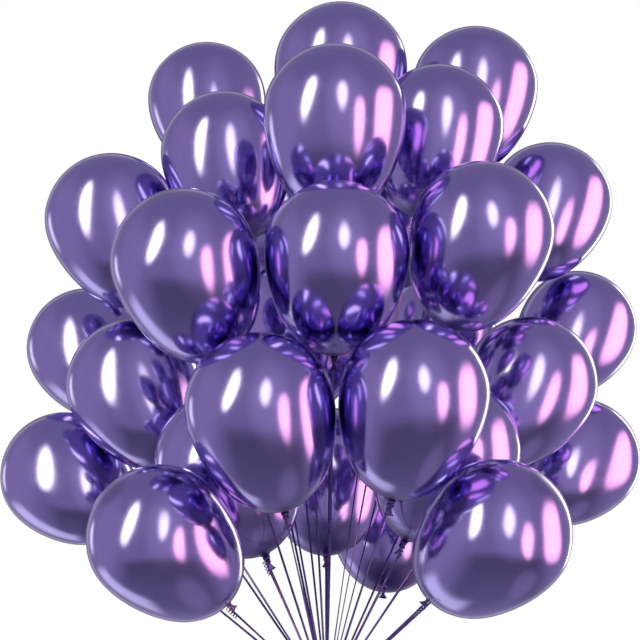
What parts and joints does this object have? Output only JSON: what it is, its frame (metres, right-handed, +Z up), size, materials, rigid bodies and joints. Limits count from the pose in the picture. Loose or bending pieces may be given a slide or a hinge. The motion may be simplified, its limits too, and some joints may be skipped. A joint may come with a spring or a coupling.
{
  "type": "latex balloon bunch",
  "caption": "Helium bunch of chrome latex balloons, each on its own taut curling ribbon, with every ribbon tied into one gather knot above a short grip of ribbon ends.",
  "frame": {"origin": "middle of the grip, the straight bundle of ribbon ends under the gather knot, on its axis", "axes": "+Z up along the grip towards the balloons, -Y the front of the bunch, +X to the right seen from the front"},
  "size_m": [1.4462, 1.3438, 1.7454],
  "materials": {
    "latex": "mirror-like metallic purple latex",
    "ribbon": "glossy purple curling ribbon",
    "knot": "glossy purple ribbon tied over itself"
  },
  "bodies": {
    "bunch": {"gather_knot": "knot", "ribbon_tails": "ribbon", "ribbon_02": "ribbon", "ribbon_03": "ribbon", "ribbon_04": "ribbon", "ribbon_05": "ribbon", "ribbon_06": "ribbon", "ribbon_07": "ribbon", "ribbon_08": "ribbon", "ribbon_09": "ribbon", "ribbon_11": "ribbon", "ribbon_12": "ribbon", "ribbon_16": "ribbon", "ribbon_19": "ribbon", "ribbon_20": "ribbon", "ribbon_25": "ribbon", "ribbon_26": "ribbon", "ribbon_27": "ribbon", "ribbon_28": "ribbon"},
    "ribbon_01": {"ribbon_01": "ribbon"},
    "balloon_01": {"balloon_01": "latex"},
    "balloon_02": {"balloon_02": "latex"},
    "balloon_03": {"balloon_03": "latex"},
    "balloon_04": {"balloon_04": "latex"},
    "balloon_05": {"balloon_05": "latex"},
    "balloon_06": {"balloon_06": "latex"},
    "balloon_07": {"balloon_07": "latex"},
    "balloon_08": {"balloon_08": "latex"},
    "balloon_09": {"balloon_09": "latex"},
    "ribbon_10": {"ribbon_10": "ribbon"},
    "balloon_10": {"balloon_10": "latex"},
    "balloon_11": {"balloon_11": "latex"},
    "balloon_12": {"balloon_12": "latex"},
    "ribbon_13": {"ribbon_13": "ribbon"},
    "balloon_13": {"balloon_13": "latex"},
    "ribbon_14": {"ribbon_14": "ribbon"},
    "balloon_14": {"balloon_14": "latex"},
    "ribbon_15": {"ribbon_15": "ribbon"},
    "balloon_15": {"balloon_15": "latex"},
    "balloon_16": {"balloon_16": "latex"},
    "ribbon_17": {"ribbon_17": "ribbon"},
    "balloon_17": {"balloon_17": "latex"},
    "ribbon_18": {"ribbon_18": "ribbon"},
    "balloon_18": {"balloon_18": "latex"},
    "balloon_19": {"balloon_19": "latex"},
    "balloon_20": {"balloon_20": "latex"},
    "ribbon_21": {"ribbon_21": "ribbon"},
    "balloon_21": {"balloon_21": "latex"},
    "ribbon_22": {"ribbon_22": "ribbon"},
    "balloon_22": {"balloon_22": "latex"},
    "ribbon_23": {"ribbon_23": "ribbon"},
    "balloon_23": {"balloon_23": "latex"},
    "ribbon_24": {"ribbon_24": "ribbon"},
    "balloon_24": {"balloon_24": "latex"},
    "balloon_25": {"balloon_25": "latex"},
    "balloon_26": {"balloon_26": "latex"},
    "balloon_27": {"balloon_27": "latex"},
    "balloon_28": {"balloon_28": "latex"},
    "ribbon_29": {"ribbon_29": "ribbon"},
    "balloon_29": {"balloon_29": "latex"}
  },
  "joints": [
    {"name": "swing_01", "type": "hinge", "parent": "bunch", "child": "ribbon_01", "pos_m": [0, 0, 0.062], "axis": [-0.4055, -0.901, 0.1545], "range_deg": [0, 10], "stiffness_Nm_per_rad": 0.065, "springref_deg": -57.3},
    {"name": "swing_10", "type": "hinge", "parent": "bunch", "child": "ribbon_10", "pos_m": [0, 0, 0.062], "axis": [0.5161, 0.8084, 0.2832], "range_deg": [0, 10], "stiffness_Nm_per_rad": 0.072, "springref_deg": -57.3},
    {"name": "swing_13", "type": "hinge", "parent": "bunch", "child": "ribbon_13", "pos_m": [0, 0, 0.062], "axis": [-0.8384, -0.0089, -0.545], "range_deg": [0, 16], "stiffness_Nm_per_rad": 0.054, "springref_deg": -57.3},
    {"name": "swing_14", "type": "hinge", "parent": "bunch", "child": "ribbon_14", "pos_m": [0, 0, 0.062], "axis": [0.5115, -0.7183, 0.4717], "range_deg": [0, 16], "stiffness_Nm_per_rad": 0.034, "springref_deg": -57.3},
    {"name": "swing_15", "type": "hinge", "parent": "bunch", "child": "ribbon_15", "pos_m": [0, 0, 0.062], "axis": [0.9724, -0.2334, 0], "range_deg": [0, 16], "stiffness_Nm_per_rad": 0.078, "springref_deg": -57.3},
    {"name": "swing_17", "type": "hinge", "parent": "bunch", "child": "ribbon_17", "pos_m": [0, 0, 0.062], "axis": [0.7193, -0.6947, 0], "range_deg": [0, 16], "stiffness_Nm_per_rad": 0.068, "springref_deg": -57.3},
    {"name": "swing_18", "type": "hinge", "parent": "bunch", "child": "ribbon_18", "pos_m": [0, 0, 0.062], "axis": [-0.5, -0.866, 0], "range_deg": [0, 16], "stiffness_Nm_per_rad": 0.106, "springref_deg": -57.3},
    {"name": "swing_21", "type": "hinge", "parent": "bunch", "child": "ribbon_21", "pos_m": [0, 0, 0.062], "axis": [-0.1045, 0.9945, 0], "range_deg": [0, 16], "stiffness_Nm_per_rad": 0.067, "springref_deg": -57.3},
    {"name": "swing_22", "type": "hinge", "parent": "bunch", "child": "ribbon_22", "pos_m": [0, 0, 0.062], "axis": [-0.5736, 0.8192, 0], "range_deg": [0, 16], "stiffness_Nm_per_rad": 0.111, "springref_deg": -57.3},
    {"name": "swing_23", "type": "hinge", "parent": "bunch", "child": "ribbon_23", "pos_m": [0, 0, 0.062], "axis": [0.7431, 0.6691, 0], "range_deg": [0, 16], "stiffness_Nm_per_rad": 0.071, "springref_deg": -57.3},
    {"name": "swing_24", "type": "hinge", "parent": "bunch", "child": "ribbon_24", "pos_m": [0, 0, 0.062], "axis": [-0.9563, 0.2924, 0], "range_deg": [0, 16], "stiffness_Nm_per_rad": 0.082, "springref_deg": -57.3},
    {"name": "swing_29", "type": "hinge", "parent": "bunch", "child": "ribbon_29", "pos_m": [0, 0, 0.062], "axis": [-0.5967, 0.7522, -0.2796], "range_deg": [0, 16], "stiffness_Nm_per_rad": 0.087, "springref_deg": -57.3},
    {"name": "twist_01", "type": "hinge", "parent": "ribbon_01", "child": "balloon_01", "pos_m": [-0.25066, 0.33263, 1.34386], "axis": [-0.186, 0.2468, 0.9511], "continuous": true},
    {"name": "twist_02", "type": "hinge", "parent": "bunch", "child": "balloon_02", "pos_m": [-0.17561, -0.06392, 0.98056], "axis": [-0.1873, -0.0682, 0.9799], "continuous": true},
    {"name": "twist_03", "type": "hinge", "parent": "bunch", "child": "balloon_03", "pos_m": [-0.37357, 0.03268, 0.88486], "axis": [-0.4131, 0.0361, 0.91], "continuous": true},
    {"name": "twist_04", "type": "hinge", "parent": "bunch", "child": "balloon_04", "pos_m": [-0.19913, -0.3745, 0.61476], "axis": [-0.2858, -0.5375, 0.7934], "continuous": true},
    {"name": "twist_05", "type": "hinge", "parent": "bunch", "child": "balloon_05", "pos_m": [0.02669, -0.08214, 1.15935], "axis": [0.0242, -0.0746, 0.9969], "continuous": true},
    {"name": "twist_06", "type": "hinge", "parent": "bunch", "child": "balloon_06", "pos_m": [0.01244, -0.35628, 0.90185], "axis": [0.0136, -0.3905, 0.9205], "continuous": true},
    {"name": "twist_07", "type": "hinge", "parent": "bunch", "child": "balloon_07", "pos_m": [0.27773, 0, 1.17591], "axis": [0.2419, 0, 0.9703], "continuous": true},
    {"name": "twist_08", "type": "hinge", "parent": "bunch", "child": "balloon_08", "pos_m": [0.19001, -0.17108, 0.98395], "axis": [0.1986, -0.1788, 0.9636], "continuous": true},
    {"name": "twist_09", "type": "hinge", "parent": "bunch", "child": "balloon_09", "pos_m": [0.01344, -0.38473, 0.62212], "axis": [0.0198, -0.5661, 0.8241], "continuous": true},
    {"name": "twist_10", "type": "hinge", "parent": "ribbon_10", "child": "balloon_10", "pos_m": [0.22501, -0.36009, 0.67981], "axis": [0.3001, -0.4803, 0.8241], "continuous": true},
    {"name": "twist_11", "type": "hinge", "parent": "bunch", "child": "balloon_11", "pos_m": [0.42808, 0.16863, 1.00534], "axis": [0.4079, 0.1607, 0.8988], "continuous": true},
    {"name": "twist_12", "type": "hinge", "parent": "bunch", "child": "balloon_12", "pos_m": [0.48234, 0.3014, 0.78999], "axis": [0.5221, 0.3263, 0.788], "continuous": true},
    {"name": "twist_13", "type": "hinge", "parent": "ribbon_13", "child": "balloon_13", "pos_m": [-0.45063, 0.3274, 0.74985], "axis": [-0.5091, 0.3699, 0.7771], "continuous": true},
    {"name": "twist_14", "type": "hinge", "parent": "ribbon_14", "child": "balloon_14", "pos_m": [-0.30415, 0.1107, 0.56041], "axis": [-0.5118, 0.1863, 0.8387], "continuous": true},
    {"name": "twist_15", "type": "hinge", "parent": "ribbon_15", "child": "balloon_15", "pos_m": [-0.07367, -0.39647, 0.33018], "axis": [-0.2217, -0.4649, 0.8572], "continuous": true},
    {"name": "twist_16", "type": "hinge", "parent": "bunch", "child": "balloon_16", "pos_m": [-0.11576, -0.07662, 0.31767], "axis": [-0.3979, -0.2634, 0.8788], "continuous": true},
    {"name": "twist_17", "type": "hinge", "parent": "ribbon_17", "child": "balloon_17", "pos_m": [-0.18507, -0.19165, 0.21274], "axis": [-0.6046, -0.6261, 0.4924], "continuous": true},
    {"name": "twist_18", "type": "hinge", "parent": "ribbon_18", "child": "balloon_18", "pos_m": [-0.44564, 0.25729, 0.46403], "axis": [-0.6824, 0.394, 0.6157], "continuous": true},
    {"name": "twist_19", "type": "hinge", "parent": "bunch", "child": "balloon_19", "pos_m": [0.11235, -0.40293, 0.35089], "axis": [0.1983, -0.4672, 0.8616], "continuous": true},
    {"name": "twist_20", "type": "hinge", "parent": "bunch", "child": "balloon_20", "pos_m": [0.14907, -0.08263, 0.34566], "axis": [0.4505, -0.2497, 0.8572], "continuous": true},
    {"name": "twist_21", "type": "hinge", "parent": "ribbon_21", "child": "balloon_21", "pos_m": [0.31453, 0.03306, 0.53983], "axis": [0.5489, 0.0577, 0.8339], "continuous": true},
    {"name": "twist_22", "type": "hinge", "parent": "ribbon_22", "child": "balloon_22", "pos_m": [0.45252, 0.31686, 0.51738], "axis": [0.6321, 0.4426, 0.6361], "continuous": true},
    {"name": "twist_23", "type": "hinge", "parent": "ribbon_23", "child": "balloon_23", "pos_m": [0.19091, -0.21203, 0.21691], "axis": [0.588, -0.6531, 0.4772], "continuous": true},
    {"name": "twist_24", "type": "hinge", "parent": "ribbon_24", "child": "balloon_24", "pos_m": [0.12942, 0.42331, 0.35097], "axis": [0.1095, 0.3582, 0.9272], "continuous": true},
    {"name": "twist_25", "type": "hinge", "parent": "bunch", "child": "balloon_25", "pos_m": [0, 0.20942, 0.3799], "axis": [0, 0.1564, 0.9877], "continuous": true},
    {"name": "twist_26", "type": "hinge", "parent": "bunch", "child": "balloon_26", "pos_m": [-0.0908, 0.14532, 0.98654], "axis": [-0.0966, 0.1545, 0.9833], "continuous": true},
    {"name": "twist_27", "type": "hinge", "parent": "bunch", "child": "balloon_27", "pos_m": [0.1356, 0.1356, 0.96422], "axis": [0.147, 0.147, 0.9781], "continuous": true},
    {"name": "twist_28", "type": "hinge", "parent": "bunch", "child": "balloon_28", "pos_m": [-0.04051, -0.12469, 0.58783], "axis": [-0.0748, -0.2301, 0.9703], "continuous": true},
    {"name": "twist_29", "type": "hinge", "parent": "ribbon_29", "child": "balloon_29", "pos_m": [0.23239, 0.47647, 0.84794], "axis": [0.2451, 0.5026, 0.829], "continuous": true}
  ]
}
